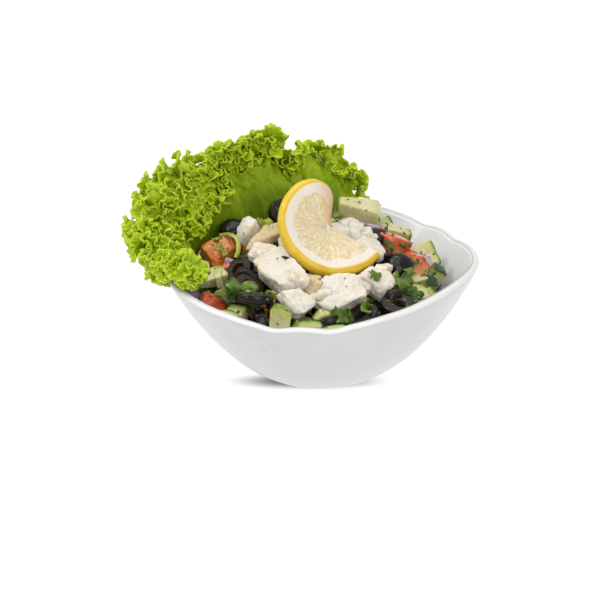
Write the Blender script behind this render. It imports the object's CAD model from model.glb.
# %% [markdown]
# # Greek salad in its bowl
# This lesson dresses a plain solid model of a salad: a white porcelain bowl, a heap of chopped
# vegetables, and on top a frilly lettuce leaf, a twisted lemon slice, feta, olives, tomato and
# cucumber. The solid model says where everything is and how big it is. Each cell makes one food
# or one finish, and puts it where its solid was.
#
# All shapes are worked out in millimetres and made into metres at the end, because a cook thinks
# of an olive as 18 mm across. Z points up, the front of the bowl is towards -Y.

# %% Load the solid model
import math
import bmesh
import bpy
import numpy as np
from mathutils import Euler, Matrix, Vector, noise
from mathutils.bvhtree import BVHTree


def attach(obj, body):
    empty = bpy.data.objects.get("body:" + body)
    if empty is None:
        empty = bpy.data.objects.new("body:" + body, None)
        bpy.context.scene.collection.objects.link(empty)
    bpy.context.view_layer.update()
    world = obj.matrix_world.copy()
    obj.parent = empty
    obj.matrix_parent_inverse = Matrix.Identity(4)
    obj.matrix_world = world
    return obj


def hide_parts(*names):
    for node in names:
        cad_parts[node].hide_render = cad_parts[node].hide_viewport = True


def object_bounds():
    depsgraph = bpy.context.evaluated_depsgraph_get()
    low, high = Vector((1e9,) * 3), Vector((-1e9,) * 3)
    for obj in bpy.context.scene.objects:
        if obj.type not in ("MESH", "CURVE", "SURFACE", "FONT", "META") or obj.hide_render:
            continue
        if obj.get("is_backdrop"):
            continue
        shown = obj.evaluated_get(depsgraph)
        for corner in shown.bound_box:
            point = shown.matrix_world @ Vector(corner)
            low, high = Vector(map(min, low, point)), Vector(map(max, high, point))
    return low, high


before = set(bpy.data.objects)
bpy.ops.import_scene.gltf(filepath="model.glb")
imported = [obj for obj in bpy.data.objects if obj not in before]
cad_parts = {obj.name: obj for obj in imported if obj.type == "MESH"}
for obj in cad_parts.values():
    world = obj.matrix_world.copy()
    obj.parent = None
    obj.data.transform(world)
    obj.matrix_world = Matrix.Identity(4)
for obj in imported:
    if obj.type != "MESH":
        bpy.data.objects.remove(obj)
cad_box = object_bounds()
MM = 0.001
BODY = "root"
print("solid pieces:", len(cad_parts))

# %% [markdown]
# ## Helpers for colour and materials
# Colours are written the way a designer writes them, as sRGB hex values. Blender mixes light in
# linear values, so one function converts them. Another adds a shader node, sets what is given as
# a plain value and links what is given as another node. With it, a material reads from top to
# bottom like a recipe.
#
# All finishes here have the same frame: a soft cloud that makes the colour drift, marks that
# the mesh carries, such as the depth below a rind, and a fine bumpy skin. So one function makes
# that frame, and each food only tells how its colour comes from its cloud and its marks.

# %% Colours and nodes
def linear(code):
    """An sRGB hex colour as the linear RGBA that Blender works with."""
    parts = [int(code[i : i + 2], 16) / 255 for i in (1, 3, 5)]
    return [c / 12.92 if c <= 0.04045 else ((c + 0.055) / 1.055) ** 2.4 for c in parts] + [1.0]


def connect(tree, node, inputs):
    """Sets plain values and colours; links sockets, and nodes by the first output they offer."""
    for key, value in inputs.items():
        if isinstance(value, bpy.types.Node):
            value = next(socket for socket in value.outputs if not socket.is_unavailable)
        if isinstance(value, bpy.types.NodeSocket):
            tree.links.new(value, node.inputs[key])
        else:
            node.inputs[key].default_value = linear(value) if str(value)[0] == "#" else value


def add(tree, kind, inputs=(), stops=(), **settings):
    """Adds one node; a shader node's kind goes without its prefix. Stops fill a colour ramp."""
    short = not kind.startswith(("Geometry", "Function"))
    made = tree.nodes.new("ShaderNode" + kind if short else kind)
    for key, value in settings.items():
        setattr(made, key, value)
    connect(tree, made, dict(inputs))
    if stops:
        elements = made.color_ramp.elements
        while len(elements) < len(stops):
            elements.new(0.5)
        for element, (place, code) in zip(elements, stops):
            element.position, element.color = place, linear(code)
    return made


def finish(name, recipe, cloud, skin=None, marks=(), **numbers):
    """A new material. The recipe gets the tree, the place, the cloud and the marks, and gives the
    colour, or a dict of inputs. Cloud is (scale, detail); skin is (scale, detail or kind of
    cells, depth in mm, strength); the numbers are set on the Principled shader. A scale of 100
    makes lumps of 10 mm."""
    made = bpy.data.materials.new(name)
    made.use_nodes = True
    tree = made.node_tree
    place = add(tree, "TexCoord").outputs["Object"]
    soft = cloud and add(
        tree, "TexNoise", {"Vector": place, "Scale": cloud[0], "Detail": cloud[1]})
    carried = [add(tree, "Attribute", attribute_name=mark).outputs["Fac"] for mark in marks]
    tone = recipe(tree, place, soft, *carried)
    inputs = {key.replace("_", " "): value for key, value in numbers.items()}
    inputs.update(tone if isinstance(tone, dict) else {"Base Color": tone})
    if skin:
        scale, kind, depth, strength = skin
        if isinstance(kind, str):
            height = add(tree, "TexVoronoi", {"Vector": place, "Scale": scale}, feature=kind)
        else:
            height = add(tree, "TexNoise", {"Vector": place, "Scale": scale, "Detail": kind})
        inputs["Normal"] = add(
            tree, "Bump", {"Height": height, "Distance": depth * MM, "Strength": strength})
    connect(tree, tree.nodes["Principled BSDF"], inputs)
    return made


# %% [markdown]
# ## Helpers for shapes
# Most pieces here are grids of points bent into shape: a wall turned round, a leaf, a slice. Numpy
# bends all the points of a grid at once, and one function skins a grid. A sheet, such as a leaf,
# gets its thickness by laying the grid twice, a little apart, and closing the edges, so that it is
# a solid like everything else.

# %% Grids and skins
def unit(vectors):
    return vectors / (np.sqrt((vectors**2).sum(-1, keepdims=True)) + 1e-12)


def spline(points, share):
    """Points of the Catmull-Rom curve through (n, 3) points, at shares between 0 and 1."""
    place = np.clip(share, 0, 1) * (len(points) - 1)
    i = np.minimum(place.astype(int), len(points) - 2)
    t = (place - i)[:, None]
    ends = np.vstack([2 * points[0] - points[1], points, 2 * points[-1] - points[-2]])
    a, b, c, d = ends[i], ends[i + 1], ends[i + 2], ends[i + 3]
    bend = (2 * a - 5 * b + 4 * c - d) * t**2 + (3 * b - 3 * c + d - a) * t**3
    return b + ((c - a) * t + bend) / 2


def finer(grid, columns, rows):
    """The same grid with more columns and rows, curved smoothly between its points."""
    for axis, count in ((0, columns), (1, rows)):
        lines = np.moveaxis(grid, axis, 0)
        dense = spline(lines.reshape(len(lines), -1), np.linspace(0, 1, count))
        grid = np.moveaxis(dense.reshape((count,) + lines.shape[1:]), 0, axis)
    return grid


def grid_normals(grid):
    return unit(np.cross(np.gradient(grid, axis=0), np.gradient(grid, axis=1)))


def mark_points(mesh, mark, values):
    """Gives every point of a mesh one number under a name."""
    layer = mesh.attributes.new(mark, "FLOAT", "POINT")
    layer.data.foreach_set("value", np.ascontiguousarray(values, np.float32))


def mesh_of(points, faces, marks=(), turn_out=False):
    """A smooth mesh from points in millimetres, with its normals turned outwards if asked."""
    mesh = bpy.data.meshes.new("piece")
    faces = faces.tolist() if isinstance(faces, np.ndarray) else faces
    mesh.from_pydata((np.asarray(points) * MM).tolist(), [], faces)
    for mark, values in dict(marks).items():
        mark_points(mesh, mark, values)
    mesh.shade_smooth()
    if turn_out:
        form = bmesh.new()
        form.from_mesh(mesh)
        bmesh.ops.recalc_face_normals(form, faces=form.faces)
        form.to_mesh(mesh)
        form.free()
    return mesh


def quads_of(grid_shape, wrap=False, loop=False):
    """Every quad of a grid. Wrap joins the last column to the first, loop the last row."""
    columns, rows = grid_shape
    index = np.arange(columns * rows).reshape(columns, rows)
    if wrap:
        index = np.vstack([index, index[:1]])
    if loop:
        index = np.hstack([index, index[:, :1]])
    corners = (index[:-1, :-1], index[1:, :-1], index[1:, 1:], index[:-1, 1:])
    return np.stack(corners, -1).reshape(-1, 4)


def lid(ring, centre, flip=False):
    """Triangles that close a ring of points towards one centre point."""
    pair = [ring, np.roll(ring, -1)]
    return np.stack((pair[::-1] if flip else pair) + [np.full(len(ring), centre)], -1).tolist()


def sheet_skin(grid, thickness):
    """Points and faces of a thin closed sheet round a grid."""
    columns, rows = grid.shape[:2]
    half = grid_normals(grid) * thickness / 2
    points = np.concatenate([(grid + half).reshape(-1, 3), (grid - half).reshape(-1, 3)])
    quads = quads_of((columns, rows))
    index = np.arange(columns * rows).reshape(columns, rows)
    edge = np.concatenate([index[:, 0], index[-1, 1:], index[-2::-1, -1], index[0, -2:0:-1]])
    after = np.roll(edge, -1)
    below = columns * rows
    rim = np.stack([after, edge, edge + below, after + below], -1)
    return points, np.concatenate([quads, quads[:, ::-1] + below, rim])


def place_piece(name, mesh, material, slot, *nodes):
    """Makes the object, gives it its material, and lets it stand for its solids."""
    mesh.name = name
    mesh.materials.clear()
    mesh.materials.append(material)
    piece = bpy.data.objects.new(name, mesh)
    bpy.context.scene.collection.objects.link(piece)
    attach(piece, BODY)
    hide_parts(*nodes)
    triangles = sum(len(face.vertices) - 2 for face in mesh.polygons)
    print(f"{name}: {triangles} triangles")


# %% [markdown]
# ## Table, light and camera
# The salad is shown as in a catalogue: on plain white, lit softly, seen a little from above. The
# white comes from a light table, a sheet that glows from below, as studios use for food. One
# large lamp hangs overhead; it is soft because it is large. One at the left reaches the bowl's
# inner wall, one in front lights the sides of the food, and the white world fills in the shadows.
# A long lens (85 mm) keeps the bowl from looking stretched.

# %% Light table
TABLE_REACH = 12.0
TABLE_GLOW = 0.86, 0.92  # close to the bowl and far from it
FOOT_SHADE = (0.94, 4.1, 1.0), (0.0072, 0.059, 0.0)  # squeeze and shift of a flat oval


def table_light(tree, place, cloud):
    """Lit from below, and less so close round the foot, which keeps light from it."""
    tone = add(tree, "MapRange", {0: cloud, 3: 0.21, 4: 0.23})
    away = add(tree, "VectorMath", {0: place}, operation="LENGTH")
    glow = add(tree, "MapRange", {0: away, 1: 0.1, 2: 1.2, 3: TABLE_GLOW[0], 4: TABLE_GLOW[1]})
    squeeze, shift = FOOT_SHADE
    oval = add(tree, "VectorMath", {0: place, 1: squeeze, 2: shift}, operation="MULTIPLY_ADD")
    near = add(tree, "VectorMath", {0: oval}, operation="LENGTH")
    shade = add(tree, "MapRange", {0: near, 1: 0.012, 2: 0.05, 3: 0.1, 4: 1.0},
                interpolation_type="SMOOTHSTEP")
    return {"Base Color": add(tree, "CombineColor", {0: tone, 1: tone, 2: tone}),
            "Emission Strength": add(tree, "Math", {0: glow, 1: shade}, operation="MULTIPLY")}


table_mesh = bpy.data.meshes.new("table")
table_mesh.from_pydata([(x * TABLE_REACH, y * TABLE_REACH, 0)
                        for x, y in ((-1, -1), (1, -1), (1, 1), (-1, 1))], [], [(0, 1, 2, 3)])
table_mesh.materials.append(finish("white light table", table_light, (40.0, 2.0),
                                   Roughness=0.9, Emission_Color="#ffffff"))
table = bpy.data.objects.new("table", table_mesh)
bpy.context.scene.collection.objects.link(table)
table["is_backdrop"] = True

# %% Lights and camera
SIGHT = Vector((-0.0113, 0.0, 0.044))  # what the camera looks at
CAMERA_HEIGHT = math.radians(24)
CAMERA_AWAY = 0.8013
LAMP_AIM = Vector((0, 0, 0.06))

for name, place, size, power in (("overhead", (-0.05, 0.2, 1.2), 1.0, 4.5),
                                 ("left", (-1.0, 0.1, 1.25), 0.7, 7.2),
                                 ("front", (0.3, -1.0, 0.75), 0.9, 4.8)):
    lamp = bpy.data.lights.new(name, "AREA")
    lamp.shape, lamp.size, lamp.energy = "DISK", size, power
    stand = bpy.data.objects.new(name, lamp)
    stand.location = place
    stand.rotation_euler = (Vector(place) - LAMP_AIM).to_track_quat("Z", "Y").to_euler()
    bpy.context.scene.collection.objects.link(stand)

world = bpy.data.worlds.new("studio")
bpy.context.scene.world = world
world.use_nodes = True
connect(world.node_tree, world.node_tree.nodes["Background"], {"Color": "#ffffff", "Strength": 0.6})
bpy.context.scene.view_settings.view_transform = "Standard"

back = Vector((0.0, -math.cos(CAMERA_HEIGHT), math.sin(CAMERA_HEIGHT)))
camera = bpy.data.objects.new("camera", bpy.data.cameras.new("camera"))
camera.data.lens = 85.0
camera.data.sensor_width = 36.0
camera.location = SIGHT + back * CAMERA_AWAY
camera.rotation_euler = back.to_track_quat("Z", "Y").to_euler()
bpy.context.scene.collection.objects.link(camera)
bpy.context.scene.camera = camera


# %% [markdown]
# ## The bowl
# A porcelain bowl of this kind is pressed in a mould, so its section is the same all round, and
# only its rim is waved: long waves, and three short stretches with two notches each. The section
# is a curve from the floor over the lip to the foot. Turning it round gives a grid; then each
# point moves out and up by the rim's waves, which fade away towards the foot. A grid worked out
# by formula keeps the section exact, where a sculpted bowl would lose it.
# Soft grooves run down from the notches, and a low scroll ornament lies below each stretch.

# %% Shape of the wall
BOWL_RADIUS, BOWL_HEIGHT = 90.6, 70.6
FOOT_RADIUS, FOOT_HEIGHT = 22.0, 2.4
WALL, WALL_CURVE, FLOOR = 4.0, 0.56, 7.0
BRACKETS = (-6.5, 125.0, -132.0)  # azimuths of the notched stretches, in degrees
NOTCH, SHOULDER = 9.5, 27.0  # degrees from a stretch's middle to its notches and its ends
BOWL_STEPS, WALL_POINTS = 600, 52


def bump(degrees, centre, width):
    """A smooth bump of height 1 at an azimuth."""
    away = (degrees - centre + 180) % 360 - 180
    return np.exp(-((away / width) ** 2))


def rim_rise(azimuth):
    degrees = np.degrees(azimuth)
    rise = -2.4 * np.cos(3 * azimuth) + 1.7 * np.sin(2 * azimuth) + 0.6 * np.sin(azimuth)
    for centre in BRACKETS:
        rise = rise + 0.5 * bump(degrees, centre, 5)
        for side in (-1, 1):
            rise = rise - 1.3 * bump(degrees, centre + NOTCH * side, 4.5)
            rise = rise + 0.5 * bump(degrees, centre + SHOULDER * side, 7)
    return rise


def rim_spread(azimuth):
    spread = 1.5 * np.cos(2 * azimuth) - 1.3 * np.sin(2 * azimuth)
    return spread + 0.6 * np.cos(3 * azimuth) - 0.5 * np.sin(3 * azimuth)


def around(radius, azimuth, height):
    """Points at a radius, azimuth and height about the bowl's axis."""
    return np.stack([radius * np.sin(azimuth), -radius * np.cos(azimuth), height], -1)


def outer_line(count):
    """(radius, height) points of the outer wall from the foot to the lip."""
    climb = (BOWL_HEIGHT - WALL / 2 - FOOT_HEIGHT) * np.linspace(0, 1, count) ** 1.9
    share = climb / (BOWL_HEIGHT - FOOT_HEIGHT)
    radius = FOOT_RADIUS + (BOWL_RADIUS - FOOT_RADIUS) * share**WALL_CURVE
    return np.stack([radius, FOOT_HEIGHT + climb], -1)


def inner_line(count):
    """The inner wall, one wall's thickness inside the outer, from the floor to the lip."""
    outer = outer_line(count)
    along = unit(np.gradient(outer, axis=0))
    inner = outer + WALL * np.stack([-along[:, 1], along[:, 0]], -1)
    inner = inner[inner[:, 1] > FLOOR + 1.0]
    flat = [(inner[0, 0] * share, FLOOR) for share in (0.02, 0.2, 0.4, 0.6, 0.8)]
    return np.vstack([flat, inner])


def bowl_grid():
    """Azimuths, radii and heights of the whole skin, and which of its points are outside."""
    inner, outer = inner_line(WALL_POINTS), outer_line(WALL_POINTS)
    arc = np.radians(np.linspace(180, 0, 11))[1:-1]
    lip = outer[-1] - (WALL / 2, 0) + WALL / 2 * np.stack([np.cos(arc), np.sin(arc)], -1)
    foot = [(FOOT_RADIUS - 0.15, 1.6), (FOOT_RADIUS - 0.4, 0.7), (FOOT_RADIUS - 1.0, 0.15),
            (FOOT_RADIUS - 1.8, 0.0), (FOOT_RADIUS * 0.5, 0.0), (0.4, 0.0)]
    section = np.vstack([inner, lip, outer[::-1], foot])
    azimuth = np.linspace(0, 2 * math.pi, BOWL_STEPS, endpoint=False)[:, None]
    radius, height = section[None, :, 0], section[None, :, 1]
    share = np.maximum(height / BOWL_HEIGHT, 0) ** 3
    radius = radius + share * rim_spread(azimuth)
    height = height + share * rim_rise(azimuth)
    index = np.arange(len(section)) - len(inner) - len(lip)
    outside = np.broadcast_to((index >= 0) & (index < len(outer)), radius.shape)
    return np.broadcast_to(azimuth, radius.shape), radius, height, outside


# %% [markdown]
# The ornament is a raised line, 0.8 mm high: two scrolls that curl away from each other below each
# notched stretch, with three short leaves between them. Its height at a point of the wall comes
# from that point's distance to the line, so the glaze softens its edges as on the real bowl.

# %% Ornament
LINE_HEIGHT, LINE_WIDTH, GROOVE_DEPTH = 0.8, 0.9, 0.9


def scroll_line():
    """Points (across, down) of one scroll with its leaves, in mm from the stretch's middle."""
    turn = np.linspace(0, 2.6 * math.pi, 60)
    size = 5.2 * (1 - turn / (3.2 * math.pi))
    curl = np.stack([25 + size * np.cos(turn + 2.2), 10.5 + size * 0.8 * np.sin(turn + 2.2)], -1)
    stem = np.stack([np.linspace(9, 22, 24), 17.5 - 4 * np.sin(np.linspace(0, 1.4, 24))], -1)
    leaf = [np.stack([np.linspace(x, x + dx, 12), np.linspace(top, top + 6.5, 12)], -1)
            for x, dx, top in ((8.0, 1.5, 6.5), (11.0, -2.0, 17.0), (19.0, 4.0, 17.0))]
    return np.vstack([curl, stem] + leaf)


def ornament(azimuth, down, radius):
    """Height of the raised line, for grids of azimuth and of the way down from the rim."""
    line = scroll_line()
    raised = np.zeros(down.shape)
    for centre in BRACKETS:
        across = ((np.degrees(azimuth) - centre + 180) % 360 - 180) * math.pi / 180 * radius
        near = (np.abs(across) < 35) & (down > 3) & (down < 28)
        place = np.stack([np.abs(across[near]), down[near]], -1)
        away = np.sqrt(((place[:, None] - line[None]) ** 2).sum(-1)).min(1)
        raised[near] = np.maximum(raised[near], np.exp(-((away / LINE_WIDTH) ** 2)))
    return raised


def make_bowl():
    azimuth, radius, height, outside = bowl_grid()
    down = BOWL_HEIGHT + rim_rise(azimuth) - height
    groove = sum(share * bump(np.degrees(azimuth), centre + away * side, width)
                 for away, width, share in ((NOTCH, 2.2, 1.0), (SHOULDER, 2.6, 0.7))
                 for centre in BRACKETS for side in (-1, 1))
    fade = np.clip(down / 5, 0, 1) * np.clip(1.35 - down / 45, 0, 1)
    relief = LINE_HEIGHT * ornament(azimuth, down, radius) - GROOVE_DEPTH * groove * fade
    points = around(radius + np.where(outside, relief, 0), azimuth, height)
    rows = points.shape[1]
    flat = points.reshape(-1, 3)
    ring = np.arange(BOWL_STEPS) * rows
    faces = quads_of(points.shape[:2], wrap=True).tolist()
    faces += lid(ring, len(flat), flip=True) + lid(ring + rows - 1, len(flat) + 1)
    return mesh_of(np.vstack([flat, [[0, 0, FLOOR], [0, 0, 0.0]]]), faces,
                   {"outside": np.append(outside.ravel(), (0, 0))})


# %% [markdown]
# Porcelain is a white clay body under a clear, glossy glaze, so the eye sees a soft white with
# weak, slightly spread reflections: roughness 0.3, IOR 1.5. Fired glaze is never quite even: it
# pools by a hair in the hollows, so the white drifts over 40 mm and the surface ripples over 8 mm.

# %% Glazed porcelain
def glaze_tone(tree, place, cloud, outside):
    white = add(tree, "ValToRGB", {0: cloud}, stops=[(0.35, "#c3c3c2"), (0.65, "#c7c7c6")])
    return add(tree, "Mix", {0: outside, 6: "#e1e1e0", 7: white}, data_type="RGBA")


porcelain = finish("glazed porcelain", glaze_tone, (25.0, 2.0), (120.0, 1.0, 0.1, 0.25),
                   ["outside"], Roughness=0.3, IOR=1.5, Coat_Weight=0.2, Coat_Roughness=0.2)
place_piece("porcelain_bowl", make_bowl(), porcelain, "porcelain", "bowl")


# %% [markdown]
# ## The lettuce leaf
# A curly lettuce leaf is flat at its root and frilled at its margin, because the margin grows
# faster than the middle: there is too much edge for the space, so it buckles, and the buckles
# buckle again. A wave formula gives even pleats like a curtain's, so the leaf is grown here as the
# real one is. It starts as a smooth fan. Each round, every edge of its grid is pulled towards the
# length it wants, which is longer near the margin; stiffness over two and four points keeps the
# curls round. A coarse grid finds the large folds first, and finer ones add the small curls.

# %% The fan that the leaf grows from
# Eleven columns from the leaf's front left end to its lobe at the right, in millimetres: where the
# blade enters the salad, where the frill starts, and the margin.
LEAF_COLUMNS = np.array((
    ((-66, -34, 68), (-69, -44, 75), (-67, -54, 77)),
    ((-70, -28, 66), (-79, -33, 78), (-87, -45, 83)),
    ((-73, -10, 67), (-84, -10, 84), (-101, -20, 79)),
    ((-70, 8, 69), (-78, 8, 90), (-109, -1, 92)),
    ((-62, 24, 71), (-68, 26, 94), (-105, 18, 105)),
    ((-50, 36, 72), (-55, 40, 96), (-88, 37, 109)),
    ((-36, 45, 73), (-42, 52, 99), (-60, 58, 113)),
    ((-20, 51, 74), (-26, 60, 99), (-34, 72, 121)),
    ((-4, 55, 74), (-8, 65, 98), (-12, 80, 113)),
    ((11, 58, 74), (10, 68, 92), (9, 81, 104)),
    ((22, 60, 73), (20, 69, 80), (18, 75, 85)),
), float)
LEAF_SHARE = 0.88  # share of the fan that the blade fills; the outermost frill fills the rest
LEAF_TEAR = 0.785, 0.026  # place and width of a tear in the margin


def shares(count):
    return np.linspace(0, 1, count)


def torn(along):
    """How torn the margin is, from 0 to 1."""
    return np.exp(-(((along - LEAF_TEAR[0]) / LEAF_TEAR[1]) ** 2))


def leaf_fan(columns, rows):
    root, frill, margin = (spline(LEAF_COLUMNS[:, k], shares(columns))[:, None] for k in range(3))
    whole = (1 - 0.55 * torn(shares(columns)))[:, None, None]
    across = np.linspace(0, LEAF_SHARE, rows)[None, :, None] * whole
    through = 2 * frill - (root + margin) / 2
    return root * (1 - across) ** 2 + through * 2 * across * (1 - across) + margin * across**2


# %% Growing a sheet
def edge_lengths(grid):
    return [np.sqrt((np.diff(grid, axis=axis) ** 2).sum(-1)) for axis in (0, 1)]


def draw(near, far, wanted, give):
    """Moves pairs of points towards the distance they want."""
    gap = far - near
    length = np.sqrt((gap**2).sum(-1)) + 1e-9
    move = gap * (give / 2 * (1 - wanted / length))[..., None]
    near += move
    far -= move


def pull(points, axis, span, wanted, give):
    """Draws points that are `span` apart along an axis."""
    lines, wanted = np.moveaxis(points, axis, 0), np.moveaxis(wanted, axis, 0)
    for start in range(2 * span):
        step = slice(start, None, 2 * span)
        draw(lines[start : len(lines) - span : 2 * span], lines[start + span :: 2 * span],
             wanted[step], give)


def pull_across(points, wanted, give):
    """Draws points over both diagonals of the grid's squares."""
    for start in (0, 1):
        low, high = points[start:-1:2], points[start + 1 :: 2]
        for near, far in ((low[:, :-1], high[:, 1:]), (low[:, 1:], high[:, :-1])):
            draw(near, far, wanted[start::2], give)


def windowed(lengths, axis, span):
    """The length of `span` edges in a row, for every run of them."""
    total = np.cumsum(lengths, axis=axis)
    total = np.concatenate([np.zeros_like(np.take(total, [0], axis)), total], axis)
    many = total.shape[axis]
    return np.take(total, range(span, many), axis) - np.take(total, range(many - span), axis)


def between(values):
    """The mean of neighbours, here for every edge between two points."""
    return (values[..., 1:] + values[..., :-1]) / 2


def rough(rng, columns, rows, waves, waves_across):
    """Smooth random numbers over a grid, with so many waves along and across it."""
    return finer(rng.normal(size=(waves + 1, waves_across + 1, 1)), columns, rows)[..., 0]


def grow(fan, stages, start, rng):
    """Grows a sheet from fan(columns, rows). Rows up to the share `start` stay where they are."""
    grid, before = None, 0.0
    drift = rng.normal(size=(10, 3, 1))
    for stage in stages:
        columns, rows = stage["grid"]
        base = fan(columns, rows)
        grid = base.copy() if grid is None else finer(grid, columns, rows)
        share = np.clip((shares(rows) - start) / (1 - start), 0, 1)
        uneven = 1 + 0.25 * np.clip(finer(drift, columns, rows)[..., 0], -1.5, 1.5)
        along, across = edge_lengths(base)
        spread = share ** stage["power"] * uneven
        spread = (spread[1:] + spread[:-1]) / 2
        across = across * (1 + stage["lengthen"] * between(share))
        if "teeth" in stage:
            tooth = np.clip(rough(rng, columns, 2, stage["teeth"], 1)[:, :1], -1.3, 1.5)
            across = across * (1 + 0.5 * tooth * between(share) ** 4)
        seed = rough(rng, columns, rows, *stage["seeds"])[..., None]
        share = share[None, :, None]
        grid = grid + grid_normals(grid) * seed * stage["seed_size"] * share**0.75
        hold = np.where(share <= 0, 1.0, stage["hold"] * (1 - share) ** 2)
        reach = 1.0 + stage["reach"] * share
        for turn in range(stage["rounds"]):
            grown = min(1.4 * (turn + 1) / stage["rounds"], 1.0)
            wanted = along * (1 + (before + (stage["excess"] - before) * grown) * spread)
            pull(grid, 0, 1, wanted, 1.0)
            pull(grid, 1, 1, across, 1.0)
            slant = np.sqrt(between(wanted) ** 2 + ((across[1:] + across[:-1]) / 2) ** 2)
            pull_across(grid, slant, 0.25)
            for span, give in stage["stiff"]:
                pull(grid, 0, span, windowed(wanted, 0, span), give)
            pull(grid, 1, 2, windowed(across, 1, 2), 0.2)
            away = grid - base
            far = np.sqrt((away**2).sum(-1, keepdims=True)) + 1e-9
            grid -= away * np.minimum(hold + 0.5 * np.maximum(1 - reach / far, 0), 1.0)
        before = stage["excess"]
    return grid


BLADE_GRID = 760, 34
blade_grid = finer(grow(leaf_fan, (
    dict(grid=(150, 12), excess=1.0, power=2.4, lengthen=0.1, seeds=(15, 2), seed_size=4.5,
         hold=0.01, reach=14.0, rounds=150, stiff=[(2, 0.3)]),
    dict(grid=(500, 26), excess=2.9, power=3.2, lengthen=0.15, seeds=(66, 6), seed_size=1.6,
         hold=0.005, reach=14.0, rounds=150, stiff=[(2, 0.3), (4, 0.15)]),
), 0.30, np.random.default_rng(3)), *BLADE_GRID)
print("margin of the blade, mm:", round(float(edge_lengths(blade_grid)[0][:, -1].sum())))

# %% [markdown]
# The outer half of the blade carries tier upon tier of small frill. Each tier is a narrow ribbon
# rooted along the blade's folds: the inner ones stand up from the face, the outermost carries the
# blade on outwards. Each is grown with the same function, to over twice the length of its root.

# %% The tiers of frill
def calm(values, reach):
    """A moving average along a line, so that a ribbon doesn't copy every small fold."""
    window = np.ones(2 * reach + 1) / (2 * reach + 1)
    padded = np.pad(values, ((reach, reach), (0, 0)), mode="edge")
    return np.stack([np.convolve(column, window, "valid") for column in padded.T], -1)


def ribbon_root(sheet, share):
    """Points, normals and outward ways along a line of the sheet, and how far each is along it."""
    row = share * (sheet.shape[1] - 1)
    low = np.minimum(row.astype(int), sheet.shape[1] - 2)
    part, column = (row - low)[:, None], np.arange(len(sheet))
    layers = (sheet, grid_normals(sheet), unit(np.gradient(sheet, axis=1)))
    line = np.concatenate(
        [layer[column, low] * (1 - part) + layer[column, low + 1] * part for layer in layers], 1)
    steps = np.sqrt((np.diff(line[:, :3], axis=0) ** 2).sum(-1))
    return line, np.concatenate([[0], np.cumsum(steps)])


def frill_tier(sheet, blade_shares, end, width, lean, growth, rng):
    """A ribbon rooted at shares of the sheet that stands up by the angle `lean`."""
    along = shares(len(sheet))
    sway = 0.04 * np.sin(along * 71 + rng.uniform(0, 6))
    sway = sway + 0.03 * np.sin(along * 150 + rng.uniform(0, 6))
    share = np.interp(along, (0.35, 0.65, 0.85), blade_shares) + (1 - blade_shares[0]) * sway
    line, walked = ribbon_root(sheet, np.minimum(share, 0.995))
    keep = along <= end
    line, walked, along = line[keep], walked[keep], along[keep]
    length = walked[-1]
    wobble = np.clip(rng.normal(size=max(4, int(length / 12))), -1.3, 1.5) * 0.35 + 1

    def fan(columns, rows):
        at = np.linspace(0, length, columns)
        root = np.stack([np.interp(at, walked, line[:, k]) for k in range(9)], -1)
        smoothing = max(1, int(columns * 4 / length))
        up, out = unit(calm(root[:, 3:6], smoothing)), unit(calm(root[:, 6:], smoothing))
        way = out * math.cos(lean) + up * math.sin(lean)
        reach = width * np.interp(shares(columns), shares(len(wobble)), wobble)
        reach = reach * (1 - 0.8 * torn(np.interp(at, walked, along)))
        return root[:, None, :3] + (way * reach[:, None])[:, None] * shares(rows)[None, :, None]

    half = 1 + (growth - 1) / 2
    same = dict(power=1.1, lengthen=0.1, hold=0.004, reach=4.5)
    return grow(fan, (
        dict(grid=(int(length / 1.8), 5), excess=half - 1, seeds=(int(length * half / 8), 2),
             seed_size=1.6, rounds=110, stiff=[(2, 0.3)], **same),
        dict(grid=(int(length * growth / 0.56), 8), excess=growth - 1,
             seeds=(int(length * growth / 2.6), 3), seed_size=0.6, rounds=80,
             stiff=[(2, 0.25), (3, 0.1)], teeth=int(length * growth / 2.2), **same),
    ), 0.0, rng)


TIERS = (  # share of the blade at the left, middle and right, end, width, lean, growth
    ((0.26, 0.38, 0.5), 0.38, 4.6, 1.30, 2.5),
    ((0.36, 0.46, 0.6), 0.44, 4.8, 1.30, 2.6),
    ((0.45, 0.53, 0.7), 0.50, 5.0, 1.25, 2.7),
    ((0.54, 0.60, 0.8), 0.56, 5.2, 1.15, 2.7),
    ((0.63, 0.68, 0.8), 0.68, 5.0, 1.05, 2.6),
    ((0.72, 0.76, 0.86), 0.78, 5.0, 0.95, 2.6),
    ((0.81, 0.84, 0.88), 0.84, 4.8, 0.80, 2.6),
    ((0.90, 0.91, 0.93), 1.00, 4.6, 0.60, 2.6),
    ((0.99, 0.99, 0.99), 1.00, 5.2, 0.10, 2.7),
)
tier_rng = np.random.default_rng(11)
tiers = [frill_tier(blade_grid, *tier, tier_rng) for tier in TIERS]
print("margins, mm:", [round(float(edge_lengths(tier)[0][:, -1].sum())) for tier in tiers])

# %% [markdown]
# Veins fork on their way from the root to the margin, and the blade puckers between them. Both are
# real relief, not only a bump in the material, because they catch the light at the fold's edge.
# Every point also carries two marks that the colour follows: how near it is to the margin, and how
# far it lies on a vein.

# %% Skin of the leaf
BLADE_THICKNESS, FRILL_THICKNESS = 0.7, 0.45


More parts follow.
